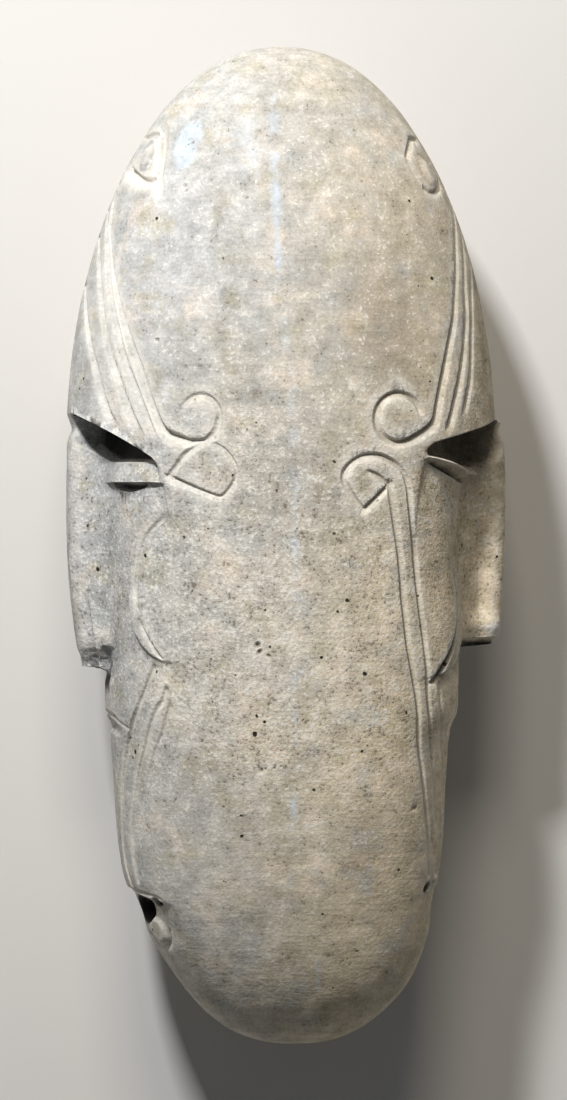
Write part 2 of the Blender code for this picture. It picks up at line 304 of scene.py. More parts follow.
def chin_offset(angle, height, is_right):
    """The jaw is trimmed below the mouth and ends in a step with a hollow under it."""
    edge = per_face(is_right, "chin_height") - CHIN_DROP * ease(angle / CHIN_END_ANGLE)
    across = ease((CHIN_END_ANGLE - angle) / CHIN_END_FADE)
    trim = ease((JAW_TRIM_START - height) / JAW_TRIM_LENGTH)
    trim = trim * (1.0 - ease((CHIN_SWELL_START - height) / CHIN_SWELL_LENGTH))
    trim = trim * per_face(is_right, "jaw_trim") * (1.0 - ease_between(angle, *JAW_TRIM_ANGLES))
    hollow = ease((edge - height) / CHIN_STEP)
    hollow = hollow * ease((height - edge + CHIN_HOLLOW_HEIGHT) / CHIN_HOLLOW_FADE)
    return -trim - per_face(is_right, "chin_hollow") * hollow * across


def nose_end_height(angle, is_right):
    rise = per_face(is_right, "nostril_rise") * ease_between(angle, *NOSTRIL_ANGLES)
    return per_face(is_right, "nose_end") + rise


def nose_radius(angle, height, is_right):
    """Distance from the long axis to a slab with rounded long edges, flaring at its root."""
    turn = np.radians(np.maximum(angle, 0.01))
    ahead = np.cos(turn)
    aside = np.sin(turn)
    roll = bump((height - per_face(is_right, "roll_height")) / TIP_ROLL_SPREAD)
    up = (height - per_face(is_right, "nose_peak")) / (NOSE_TOP - per_face(is_right, "nose_peak"))
    down = (per_face(is_right, "nose_peak") - height) / NOSE_FALL_LENGTH
    front = per_face(is_right, "nose_reach")
    front = front - per_face(is_right, "nose_fall_up") * np.clip(up, 0.0, 1.2) ** 2
    front = front - per_face(is_right, "nose_fall_down") * np.clip(down, 0.0, 1.2) ** 2
    front = front - BRIDGE_DEPTH * bump((height - BRIDGE_HEIGHT) / BRIDGE_SPREAD)
    broken = per_face(is_right, "nose_end") + per_face(is_right, "break_rise") - height
    broken = per_face(is_right, "break_depth") * ease(broken / per_face(is_right, "break_slope"))
    front = front - per_face(is_right, "front_break") * broken
    width = NOSE_HALF_WIDTH + per_face(is_right, "tip_roll") * roll - broken
    corner_ahead = front - NOSE_ROUNDING
    corner_aside = width - NOSE_ROUNDING
    along = corner_ahead * ahead + corner_aside * aside
    square = NOSE_ROUNDING ** 2 - corner_ahead ** 2 - corner_aside ** 2 + along ** 2
    radius = along + np.sqrt(np.maximum(square, 0.0))
    radius = np.where(np.tan(turn) * front < corner_aside, front / ahead, radius)
    radius = np.where(width / np.tan(turn) < corner_ahead, width / aside, radius)
    flare = (width + NOSE_FLARE * NOSE_FLARE_START) / (aside + NOSE_FLARE * ahead)
    flare = np.minimum(flare, corner_ahead / ahead) * (angle < NOSE_FLARE_END_ANGLE)
    return np.maximum(radius, flare)


def stone_radius(angle, height, is_right):
    """Distance from the long axis to the surface before the grooves are cut."""
    thickness = half_thickness(height)
    skull = section_radius(angle, skull_reach(height), thickness, SKULL_ROUNDNESS)
    face = section_radius(angle, jaw_reach(height), thickness, FACE_ROUNDNESS)
    face = face + cheek_offset(angle, height, is_right)
    face = face + mouth_offset(angle, height, is_right)
    face = face + chin_offset(angle, height, is_right)
    nose = nose_radius(angle, height, is_right)
    closeness = np.clip(1.0 - np.abs(nose - face) / NOSE_FILLET, 0.0, 1.0)
    nose = np.maximum(nose, face) + 0.25 * NOSE_FILLET * closeness ** 2      # a smooth maximum
    past_end = height - nose_end_height(angle, is_right)
    face = face + (nose - face) * ease(past_end / per_face(is_right, "nose_step"))
    face = face + eye_offset(angle, height, is_right)
    blend = brow_blend(angle, height, is_right)
    return face + (skull - face) * blend


def foot_swing(height):
    """The rounded foot swings to the right."""
    return FOOT_SHIFT * ease((FOOT_SHIFT_START - height) / FOOT_SHIFT_LENGTH)


def place(side, angle, height):
    """Points of the surface in millimetres, from their face, angle and height."""
    side = np.broadcast_to(side, np.shape(angle))
    is_right = side > 0.0
    near = np.abs(angle)
    radius = stone_radius(near, height, is_right)
    turn = np.radians(near)
    ahead = radius * np.cos(turn)
    x = AXIS_OFFSET + foot_swing(height) + side * ahead
    z = AXIS_HEIGHT + radius * np.sin(turn) * np.where(angle < 0.0, -1.0, 1.0)
    return np.stack([x, height, np.maximum(z, 0.0)], axis=-1)


def find_place(points):
    """Side, angle and height of points in millimetres."""
    height = points[:, 1]
    x = points[:, 0] - AXIS_OFFSET - foot_swing(height)
    side = np.where(x > 0.0, RIGHT, LEFT)
    angle = np.degrees(np.arctan2(points[:, 2] - AXIS_HEIGHT, np.abs(x)))
    return side, angle, height


# ---------------------------------------------------------------- carving tools

def noise(points, size, seed):
    """Smooth random values from -1 to 1 that change over about the given size."""
    cell = points / size
    corner = np.floor(cell).astype(np.int64)
    part = cell - corner
    part = part * part * (3.0 - 2.0 * part)
    total = np.zeros(len(points))
    for step in range(8):
        offset = np.array([step & 1, (step >> 1) & 1, step >> 2])
        weight = np.prod(np.where(offset == 1, part, 1.0 - part), axis=1)
        key = (corner + offset) @ np.array([73856093, 19349663, 83492791]) + seed * 15485863
        key = (key ^ (key >> 13)) * 1274126177 & 0x7FFFFFFF
        key = (key ^ (key >> 16)) * 668265263 & 0x7FFFFFFF
        total += weight * (key / 1073741823.5 - 1.0)
    return total


def smooth_line(points, spacing=0.8):
    """A smooth curve through a few places, as evenly spaced places."""
    knots = np.array(points, dtype=float)
    knots = np.vstack([2.0 * knots[0] - knots[1], knots, 2.0 * knots[-1] - knots[-2]])
    curve = []
    for i in range(1, len(knots) - 2):
        before, start, end, after = knots[i - 1:i + 3]
        steps = max(2, int(np.hypot(*(end - start)) / spacing))
        for t in np.arange(steps) / steps:
            bend = (2.0 * start + (end - before) * t
                    + (2.0 * before - 5.0 * start + 4.0 * end - after) * t * t
                    + (3.0 * start - before - 3.0 * end + after) * t ** 3)
            curve.append(0.5 * bend)
    curve.append(knots[-2])
    return np.array(curve)


def ring(centre, size, start, end, count=18):
    """Places along a round scroll; its turn is 0 towards the ear, 90 towards the crown."""
    turn = np.radians(np.linspace(start, end, count))
    return [(centre[0] + size[0] * math.cos(t), centre[1] + size[1] * math.sin(t)) for t in turn]


STEEP_CROWN = 0.6       # grooves are cut steeper on their crown side
STEEP_EAR = 0.85        # and on their ear side
STEEPEST = 0.72
TANGENT_STEP = 0.4
WIDTH_WANDER = 0.12
DEPTH_WANDER = 0.15


class Track:
    """A line on the surface, with the nearby points of the mesh measured against it."""

    def __init__(self, points, side, places, reach):
        places = smooth_line(places)
        angle, height = places.T
        line = place(side, angle, height)
        step = TANGENT_STEP
        ahead = place(side, angle + step, height) - place(side, angle - step, height)
        up = place(side, angle, height + step) - place(side, angle, height - step)
        out = np.cross(ahead, up)
        out = out / np.linalg.norm(out, axis=1)[:, None]
        out = out * np.sign((out * (line - [AXIS_OFFSET, 0.0, AXIS_HEIGHT])).sum(axis=1))[:, None]
        low = line.min(axis=0) - reach
        high = line.max(axis=0) + reach
        self.near = np.nonzero(((points > low) & (points < high)).all(axis=1))[0]
        close = points[self.near]
        best = np.full(len(close), np.inf)
        self.offset = np.full(len(close), np.inf)
        self.run = np.zeros(len(close))
        self.lean = np.zeros(len(close))
        length = 0.0
        for i in range(len(line) - 1):
            piece = line[i + 1] - line[i]
            size = np.linalg.norm(piece)
            if size < 1e-6:
                continue
            away = np.abs(close - 0.5 * (line[i] + line[i + 1]))
            reachable = np.nonzero((away < reach + size).all(axis=1))[0]
            gap = close[reachable] - line[i]
            t = np.clip(gap @ piece / size ** 2, 0.0, 1.0)
            gap = gap - t[:, None] * piece
            distance = np.linalg.norm(gap, axis=1)
            nearer = distance < best[reachable]
            chosen = reachable[nearer]
            left = np.cross(out[i], piece / size)
            best[chosen] = distance[nearer]
            self.offset[chosen] = distance[nearer] * np.sign(gap[nearer] @ left)
            self.run[chosen] = length + t[nearer] * size
            is_up = 1.0 if line[i, 2] > AXIS_HEIGHT else -1.0
            self.lean[chosen] = STEEP_CROWN * left[1] + STEEP_EAR * is_up * left[2]
            length += size
        self.length = length
        inside = best < reach
        self.near = self.near[inside]
        self.offset = self.offset[inside]
        self.run = self.run[inside]
        self.lean = self.lean[inside]

    def fade(self, start, end):
        """1 along the line, easing to 0 over the given lengths at its ends."""
        shown = np.ones(len(self.run))
        if start > 0.0:
            shown = shown * ease(self.run / start)
        if end > 0.0:
            shown = shown * ease((self.length - self.run) / end)
        return shown

    def between(self, pair, arched):
        """A size that changes evenly along the line, or to the middle of an arch and back."""
        part = self.run / self.length
        if arched:
            part = 1.0 - np.abs(2.0 * part - 1.0)
        return pair[0] + (pair[1] - pair[0]) * part


Groove = namedtuple("Groove", "side places width depth fade mirrored lean", defaults=(1.0,))


def cut_groove(points, relief, groove, places, arched=False):
    """Pushes a groove into the relief. Its two walls meet in a rounded bottom."""
    track = Track(points, groove.side, places, 0.95 * max(groove.width))
    lean = np.clip(groove.lean * track.lean, -STEEPEST, STEEPEST)
    half = 0.5 * track.between(groove.width, arched)
    half = half * (1.0 + WIDTH_WANDER * noise(points[track.near], 7.0, 3))
    wall = half * np.where(track.offset > 0.0, 1.0 - lean, 1.0 + lean)
    across = np.clip(np.abs(track.offset) / wall, 0.0, 1.0)
    fade = (groove.fade[0], groove.fade[0]) if arched else groove.fade
    deep = track.between(groove.depth, arched) * track.fade(*fade) * (1.0 - across ** 1.5)
    deep = deep * (1.0 + DEPTH_WANDER * noise(points[track.near], 4.0, 5))
    relief[track.near] = np.minimum(relief[track.near], -deep)


def press_oval(points, relief, side, centre, half_sizes, tilt, amount, flat):
    """Raises or sinks an oval. A tilt above 0 turns its top towards the ear."""
    at = np.array(centre, dtype=float)
    spot = place(side, at[:1], at[1:])[0]
    across = place(side, at[:1] + 1.0, at[1:])[0] - spot
    up = place(side, at[:1], at[1:] + 1.0)[0] - spot
    across = across / np.linalg.norm(across)
    up = up - across * (up @ across)
    up = up / np.linalg.norm(up)
    gap = points - spot
    near = np.nonzero(np.linalg.norm(gap, axis=1) < 1.5 * max(half_sizes))[0]
    turn = math.radians(tilt)
    wide = gap[near] @ (across * math.cos(turn) - up * math.sin(turn)) / half_sizes[0]
    tall = gap[near] @ (across * math.sin(turn) + up * math.cos(turn)) / half_sizes[1]
    far = np.hypot(wide, tall)
    relief[near] += amount * (1.0 - ease((far - flat) / (1.0 - flat)))


def press_ledge(points, relief, side, places, drop, wall, spread, fade):
    """Lowers the ground on the left of a line, sharply at the line and fading out beyond it."""
    track = Track(points, side, places, 3.0 * spread)
    beyond = ease(track.offset / wall) * np.exp(-np.maximum(track.offset, 0.0) / spread)
    relief[track.near] -= drop * track.fade(*fade) * beyond


def far_side(places):
    """The same line on the side that lies down."""
    return [(-angle, height) for angle, height in places]


def arch(places):
    """A line that runs up to the middle of the forehead goes on down the other side."""
    return list(places) + far_side(places)[-2::-1]


# ---------------------------------------------------------------- grooves
#
# Each has its places, then width and depth at its start and end, the length it fades over there,
# and whether the side that lies down has it too.

LEFT_FAN = [
    Groove(LEFT, [(52.5, 29.4), (48.5, 30.8), (45.7, 33.5), (42.7, 39.5), (38.6, 49.1), (34.5, 56.6),
                  (28.6, 67.2), (21.4, 78.5), (10.5, 93.0), (0.0, 102.0)], (3.3, 1.7), (1.7, 0.9), (0, 0),
           True),
    Groove(LEFT, [(45.6, 27.6), (42.0, 34.1), (38.2, 42.3), (33.0, 52.0), (29.8, 59.5), (25.7, 67.3),
                  (17.6, 81.0), (8.0, 91.0), (0.0, 94.5)], (3.2, 1.6), (1.55, 0.85), (9, 0), True),
    Groove(LEFT, [(41.5, 28.8), (38.6, 32.7), (35.1, 39.1), (31.5, 46.5), (27.7, 53.5), (23.5, 62.4),
                  (19.6, 70.3), (14.0, 78.5), (7.0, 84.5), (0.0, 87.0)], (3.2, 1.6), (1.55, 0.85), (9, 0),
           True),
    Groove(LEFT, [(31.8, 33.0), (29.4, 35.6), (26.4, 41.1), (23.2, 48.1), (19.0, 55.1), (14.1, 62.8),
                  (7.0, 70.5), (0.0, 73.5)], (3.2, 1.8), (1.55, 0.9), (5, 0), True),
]
LEFT_SCROLLS = [
    Groove(LEFT, ring((58.0, 34.9), (6.2, 6.3), 185.0, -90.0) + [(55.0, 28.6), (51.5, 29.8)], (1.8, 2.8),
           (0.61, 1.35), (6, 0), True),
    Groove(LEFT, [(64.2, 36.0), (62.3, 31.0), (57.5, 27.6), (53.4, 24.8), (50.6, 21.5), (48.4, 19.2)],
           (2.2, 2.2), (0.94, 0.94), (2, 0), False),
    Groove(LEFT, [(60.0, 28.2), (63.3, 27.5), (66.8, 25.3), (69.4, 21.5), (69.3, 18.3), (67.0, 15.0),
                  (64.4, 13.4), (60.5, 14.4), (56.1, 16.0), (51.8, 17.7), (48.4, 19.0)], (1.6, 2.4),
           (0.61, 1.08), (2, 0), False),
]
LEFT_WORN_STEM = [
    Groove(LEFT, [(48.7, 17.0), (47.9, 1.4), (47.8, -15.0), (47.5, -30.0), (45.6, -38.0)], (2.0, 2.0),
           (0.33, 0.33), (6, 2), False),
    Groove(LEFT, [(51.2, 16.0), (50.9, 1.4), (50.5, -15.0), (50.3, -30.0), (47.5, -42.0)], (2.0, 2.0),
           (0.29, 0.29), (6, 2), False),
]
LEFT_JAW = [
    Groove(LEFT, [(41.6, -32.0), (38.3, -37.0), (35.3, -41.6), (30.8, -47.2), (26.0, -52.5), (20.0, -60.0),
                  (15.0, -70.0), (12.0, -80.0), (11.0, -88.0), (13.0, -95.0)], (2.2, 2.0), (1.0, 0.8),
           (2, 1), True, -1.6),
    Groove(LEFT, [(45.6, -38.0), (43.4, -43.1), (40.1, -46.5), (34.7, -54.8), (30.5, -61.8), (26.0, -71.0),
                  (22.0, -82.0), (21.0, -94.0)], (2.2, 1.8), (1.0, 0.7), (2, 1), True, -1.6),
    Groove(LEFT, [(47.5, -42.0), (42.6, -51.9), (38.6, -57.5), (35.5, -63.0), (32.0, -70.0)], (2.0, 1.6),
           (0.7, 0.3), (3, 8), True, -1.6),
]
RIGHT_FAN = [
    Groove(RIGHT, [(51.0, 29.6), (46.5, 31.9), (43.5, 34.5), (41.8, 39.7), (39.5, 46.6), (36.2, 55.0),
                   (32.4, 63.4), (28.4, 73.2), (21.8, 85.0), (13.0, 94.0), (0.0, 102.0)], (3.3, 1.7),
           (1.43, 0.78), (0, 0), True),
    Groove(RIGHT, [(39.5, 30.3), (37.7, 34.9), (34.0, 44.0), (30.1, 53.8), (26.5, 64.0), (22.5, 75.0),
                   (13.0, 88.0), (0.0, 94.5)], (3.2, 1.6), (1.30, 0.72), (4, 0), True),
    Groove(RIGHT, [(33.2, 34.5), (32.1, 37.2), (29.9, 42.7), (27.7, 48.3), (24.6, 59.5), (20.5, 69.5),
                   (12.0, 81.0), (0.0, 86.5)], (2.8, 1.6), (1.17, 0.72), (5, 0), True),
]
RIGHT_SCROLLS = [
    Groove(RIGHT, ring((55.2, 35.1), (7.5, 6.7), 185.0, -90.0) + [(53.0, 28.8), (50.0, 30.0)], (2.4, 3.0),
           (1.00, 1.38), (3, 0), True),
    Groove(RIGHT, [(66.8, 20.5), (64.3, 20.0), (61.7, 18.9), (58.6, 16.8)], (1.8, 2.0), (0.62, 1.00),
           (2, 0), False),
    Groove(RIGHT, [(58.6, 16.8), (60.0, 15.6), (62.3, 13.7), (64.3, 12.1), (67.0, 9.9)], (2.2, 2.4),
           (1.12, 1.25), (0, 0), False),
    Groove(RIGHT, [(67.0, 9.9), (69.9, 12.8), (72.3, 15.8), (73.7, 18.2), (73.2, 20.8), (70.5, 23.2),
                   (66.5, 24.7), (61.7, 24.7), (57.0, 22.8), (53.6, 19.8), (52.1, 16.0), (51.6, 12.0),
                   (49.2, -1.5), (47.1, -15.0), (44.9, -26.0), (42.8, -38.0), (41.2, -45.3), (36.5, -56.5),
                   (31.6, -67.7), (27.2, -79.0)], (2.4, 2.0), (1.12, 0.88), (0, 5), False),
    Groove(RIGHT, [(58.6, 16.8), (56.5, 6.8), (54.5, -4.1), (53.2, -15.0), (51.4, -26.0), (48.6, -36.0),
                   (46.8, -42.0), (44.4, -53.5), (40.2, -64.6), (35.8, -75.8), (31.2, -87.0),
                   (28.3, -92.5)], (2.6, 2.0), (1.00, 1.00), (0, 1), True),
]
RIGHT_JAW = [
    Groove(RIGHT, [(37.0, -37.0), (34.8, -45.4), (27.0, -56.7), (23.7, -62.4), (18.0, -72.0)], (2.0, 1.6),
           (0.6, 0.3), (2, 8), True),
]
CROWN_LOOPS = [
    Groove(LEFT, [(3.0, 113.3), (8.0, 113.9), (13.7, 114.3), (18.0, 114.3), (21.0, 113.9)], (2.6, 2.6),
           (1.0, 1.0), (2, 0), True),
    Groove(LEFT, [(21.0, 113.9), (23.3, 112.0), (26.4, 109.0), (29.4, 104.7), (30.8, 101.9), (33.1, 98.4),
                  (35.2, 94.7)], (4.4, 2.4), (1.9, 0.6), (0, 4), True, -0.9),
    Groove(LEFT, [(31.2, 101.4), (29.4, 100.6), (27.0, 100.7), (23.6, 101.5), (17.4, 103.4), (10.6, 105.0),
                  (4.0, 107.5)], (2.6, 4.0), (1.1, 2.1), (1, 2), True),
    Groove(RIGHT, [(13.0, 113.0), (16.3, 113.4), (22.8, 113.5), (28.0, 111.2), (31.4, 109.1),
                   (34.0, 107.0)], (2.4, 2.2), (1.2, 1.1), (3, 2), True),
    Groove(RIGHT, [(34.0, 107.0), (33.2, 103.9), (32.5, 101.4), (31.0, 99.1)], (2.2, 2.0), (0.4, 0.3),
           (1, 2), True),
    Groove(RIGHT, [(31.2, 99.5), (29.3, 98.8), (27.7, 98.1), (24.2, 98.4), (19.4, 100.3), (15.0, 102.6)],
           (2.0, 2.6), (0.8, 1.4), (1, 3), True),
]
MOUTHS = [
    Groove(LEFT, [(31.4, -50.8), (26.8, -50.3), (20.6, -48.8), (15.2, -47.3), (8.0, -46.8), (0.0, -46.7)],
           (1.0, 2.0), (0.25, 0.7), (6, 0), True),
    Groove(RIGHT, [(28.0, -50.5), (20.0, -49.0), (10.0, -47.8), (0.0, -47.4)], (1.2, 2.2), (0.15, 0.4),
           (6, 0), True),
]
CHIN_LINES = [
    Groove(LEFT, [(8.4, -107.0), (14.7, -110.6), (22.0, -111.2), (27.4, -109.2), (29.6, -105.0)],
           (2.0, 1.8), (1.5, 0.7), (1, 3), False),
    Groove(LEFT, [(0.0, -95.4), (12.7, -95.6), (22.5, -96.0), (31.2, -97.0), (36.0, -98.6)], (1.6, 1.2),
           (0.6, 0.2), (1, 3), True),
]
CHEEK_ARC = [(48.5, 10.0), (45.1, 7.4), (40.1, 4.1), (36.8, 0.8), (35.0, -2.5), (34.0, -6.8), (33.8, -12.3),
             (34.8, -16.4)]
CHEEK_LINES = [
    Groove(LEFT, CHEEK_ARC + [(36.0, -18.5)], (1.8, 1.6), (0.6, 0.6), (6, 1), True, -1.0),
    Groove(LEFT, [(36.0, -18.5), (38.9, -23.4), (41.4, -26.8), (45.4, -31.5)], (0.9, 1.1), (0.4, 0.8),
           (6, 1), True),
    Groove(RIGHT, [(28.7, -2.8), (26.8, -6.9), (25.2, -11.1), (25.0, -15.2), (26.1, -19.4), (28.0, -23.0),
                   (31.0, -27.2), (34.5, -30.8), (38.0, -34.2), (40.0, -36.2)], (1.2, 2.8), (0.5, 1.8),
           (6, 0), True),
]
# Shade is painted along the right cheek's edge and in the hole under the left chin.
SHADED_CHEEK_LINE = Groove(RIGHT, [(27.0, -6.0), (25.2, -11.1), (25.0, -15.2), (26.1, -19.4), (28.0, -23.0),
                            (30.0, -27.2), (33.0, -30.8), (36.5, -34.2), (39.0, -36.5)], (1.6, 5.0),
                    (1.0, 2.0), (6, 2), True)
SHADED_CHIN_HOLE = (LEFT, (11.5, -101.0), (10.4, 5.0), -10.0, 1.4, 0.7)
SCRATCHES = [
    Groove(LEFT, [(44.7, -75.2), (46.5, -78.4), (47.5, -82.0), (47.7, -85.3)], (1.6, 1.6), (0.25, 0.25),
           (3, 3), False),
    Groove(LEFT, [(55.7, -39.4), (56.5, -44.3)], (0.8, 0.8), (0.25, 0.25), (2, 2), False),
    Groove(LEFT, [(35.5, -14.6), (37.5, -14.2), (39.5, -14.8)], (1.0, 1.0), (0.3, 0.3), (1, 2), False),
]
ALL_GROOVES = (LEFT_FAN + LEFT_SCROLLS + LEFT_WORN_STEM + LEFT_JAW + RIGHT_FAN + RIGHT_SCROLLS + RIGHT_JAW
               + CROWN_LOOPS + MOUTHS + CHIN_LINES + CHEEK_LINES + SCRATCHES)


def carve_grooves(points, relief):
    for groove in ALL_GROOVES:
        if groove.mirrored and groove.places[-1][0] == 0.0:
            cut_groove(points, relief, groove, arch(groove.places), arched=True)
            continue
        cut_groove(points, relief, groove, groove.places)
        if groove.mirrored:
            cut_groove(points, relief, groove, far_side(groove.places))


# Ovals have a side, centre, half sizes, tilt, amount raised, and the part of them that is flat.
OVALS = [
    (LEFT, (20.6, 107.6), (2.5, 5.0), -6.0, 1.0, 0.4),          # bosses in the crown loops
    (RIGHT, (23.6, 103.6), (3.0, 5.6), 10.0, 1.0, 0.4),
    (LEFT, (13.0, -101.2), (8.8, 4.3), -10.0, -6.0, 0.75),      # hole under the left chin, its corner
    (LEFT, (29.0, -98.6), (2.4, 2.0), 0.0, -2.4, 0.2),
    (LEFT, (20.5, -106.4), (5.4, 4.4), 20.0, 0.9, 0.6),         # and the knob below it
    (RIGHT, (28.6, -94.9), (2.4, 1.8), 30.0, -2.4, 0.3),        # small hole and knob on the right
    (RIGHT, (22.0, -92.6), (2.6, 1.6), 0.0, 0.7, 0.2),
]


def press_ovals(points, relief):
    for oval in OVALS:
        press_oval(points, relief, *oval)


def carve_ledges(points, relief):
    """The ground before the left cheek lies a little lower than the cheek."""
    edge = CHEEK_ARC + [(36.9, -20.5)]
    press_ledge(points, relief, LEFT, edge, drop=0.55, wall=1.2, spread=4.0, fade=(4, 8))


# ---------------------------------------------------------------- surface damage

PIT_RAGGEDNESS = 0.3
PITS = [                    # side, angle, height, half width, depth
    (LEFT, 43.1, 55.9, 0.9, 0.7), (LEFT, 58.0, 56.3, 0.6, 0.4), (LEFT, 44.0, 98.7, 0.8, 0.5),
    (LEFT, 45.3, 97.3, 0.7, 0.5), (LEFT, 52.7, 48.7, 0.7, 0.4), (LEFT, 62.3, 29.1, 0.8, 0.5),
    (LEFT, 43.2, 13.1, 0.5, 0.3), (LEFT, 76.6, -27.2, 1.3, 0.9), (LEFT, 77.2, -29.0, 1.1, 0.9),
    (LEFT, 80.4, -30.1, 0.8, 0.6), (LEFT, 77.6, -61.4, 0.9, 0.7), (LEFT, 79.0, -61.0, 0.6, 0.5),
    (LEFT, 82.3, -60.8, 0.5, 0.5), (LEFT, 84.5, -60.4, 0.5, 0.4), (LEFT, 86.5, -60.2, 0.4, 0.4),
    (RIGHT, 70.1, 40.3, 0.5, 0.3), (RIGHT, 42.6, -72.3, 1.1, 0.5), (RIGHT, 44.0, -72.5, 0.8, 0.4),
]


def press_pits(points, relief):
    """Dents with ragged outlines."""
    for side, angle, height, radius, depth in PITS:
        centre = place(side, np.array([angle]), np.array([height]))[0]
        near = np.nonzero((np.abs(points - centre) < radius * 1.5).all(axis=1))[0]
        far = np.linalg.norm(points[near] - centre, axis=1) / radius
        far = far * (1.0 + PIT_RAGGEDNESS * noise(points[near], radius, 11))
        relief[near] -= depth * (1.0 - ease(far))


HAND_GROUND = [(28.0, 0.25, 1), (11.0, 0.1, 2), (4.5, 0.06, 4)]     # size, depth and seed of its waves
BROKEN_STONE = [(2.2, 0.3, 6), (1.1, 0.25, 7)]
RIGHT_TIP_PART = 0.3        # the right nose is broken more cleanly than the left one
CHIN_PART = 0.25
BROKEN_FADE = 3.0
BROKEN_ANGLE = 22.0         # the roughness fades out before this angle
BROKEN_ANGLE_FADE = 10.0


def uneven(points, waves):
    """How deep each point lies in a surface of overlaid waves."""
    return sum(depth * (1.0 + noise(points, size, seed)) for size, depth, seed in waves)


def broken_surface(points):
    """How far the broken ends of the noses and the edge under the chin are roughened."""
    side, angle, height = find_place(points)
    near = np.abs(angle)
    is_right = side > 0.0
    end = per_face(is_right, "nose_end")
    tip = ease((end + per_face(is_right, "break_rise") - height) / BROKEN_FADE)
    tip = tip * ease((height - end + BROKEN_FADE) / BROKEN_FADE)
    tip = tip * ease((BROKEN_ANGLE - near) / BROKEN_ANGLE_FADE)
    chin = bump((height - per_face(is_right, "chin_height") + CHIN_DROP) / BROKEN_FADE)
    chin = chin * ease((CHIN_END_ANGLE - near) / CHIN_END_FADE)
    rough = uneven(points, BROKEN_STONE)
    return rough * np.where(is_right, RIGHT_TIP_PART * tip, tip) + CHIN_PART * chin * rough


def vectors(items, name):
    """One row of three numbers for each item of a mesh."""
    values = np.empty(len(items) * 3)
    items.foreach_get(name, values)
    return values.reshape(-1, 3)


def move_points(mesh, points):
    mesh.vertices.foreach_set("co", (points * MM).ravel())
    mesh.update()


CROWD_AROUND = 0.2          # draws the mesh's points together towards the side that shows
CROWD_ALONG = 0.35          # and towards the middle of its length
ROW_BEND_HEIGHT = 34.0      # rows of points bend with the brows' edges near here
ROW_BEND_SPREAD = 45.0


def shape_stone(mesh):
    """Moves the points of a unit sphere, poles at crown and foot, onto the carved stone."""
    ball = vectors(mesh.vertices, "co")
    ball = ball / np.linalg.norm(ball, axis=1)[:, None]
    around = np.arctan2(ball[:, 0], -ball[:, 1])
    around = around - CROWD_AROUND * np.sin(around)
    side = np.where(around > 0.0, RIGHT, LEFT)
    angle = 90.0 - np.degrees(np.abs(around))
    down = np.arccos(np.clip(ball[:, 2], -1.0, 1.0)) / math.pi
    down = down + CROWD_ALONG * np.sin(2.0 * math.pi * down) / (2.0 * math.pi)
    height = HALF_LENGTH * np.cos(math.pi * down)
    near = np.abs(angle)
    brow_fall = brow_height(near, side > 0.0) - per_face(side > 0.0, "brow_top")
    bend = brow_fall * bump((height - ROW_BEND_HEIGHT) / ROW_BEND_SPREAD)
    height = height + bend * (1.0 - ball[:, 2] ** 8)
    points = place(side, angle, height)
    pole = np.abs(ball[:, 2]) > 0.999999
    points[pole, 0] = AXIS_OFFSET + foot_swing(points[pole, 1])
    points[pole, 2] = AXIS_HEIGHT
    move_points(mesh, points)
    normals = vectors(mesh.vertex_normals, "vector")
    relief = np.zeros(len(points))
    carve_grooves(points, relief)
    carve_ledges(points, relief)
    press_ovals(points, relief)
    press_pits(points, relief)
    relief -= uneven(points, HAND_GROUND) + broken_surface(points)
    relief = np.round(relief, 6)        # drops rounding noise, so that each run gives the same stone
    points = points + normals * relief[:, None]
    points[:, 2] = np.maximum(points[:, 2], 0.0)
    move_points(mesh, points)


def add_mark(mesh, name, values):
    mark = mesh.attributes.new(name, "FLOAT", "POINT")
    mark.data.foreach_set("value", np.clip(values, 0.0, 1.0).astype(np.float32))


WEAR_SPREADS = 2            # times that wear is shared between neighbouring points


def edge_wear(mesh, points):
    """How sharply each point stands out from its neighbours, for edges rubbed pale."""
    ends = np.empty(2 * len(mesh.edges), dtype=np.int32)
    mesh.edges.foreach_get("vertices", ends)
    first, second = ends.reshape(-1, 2).T
    normals = vectors(mesh.vertex_normals, "vector")
    count = np.bincount(first, minlength=len(points)) + np.bincount(second, minlength=len(points))
    gap = points[second] - points[first]
    length = np.linalg.norm(gap, axis=1)
    rise = -(gap * normals[first]).sum(axis=1) / length
    fall = (gap * normals[second]).sum(axis=1) / length
    wear = np.bincount(first, rise, len(points)) + np.bincount(second, fall, len(points))
    wear = wear / count
    for step in range(WEAR_SPREADS):
        spread = np.bincount(first, wear[second], len(points)) + np.bincount(second, wear[first], len(points))
        wear = 0.5 * wear + 0.5 * spread / count
    return wear


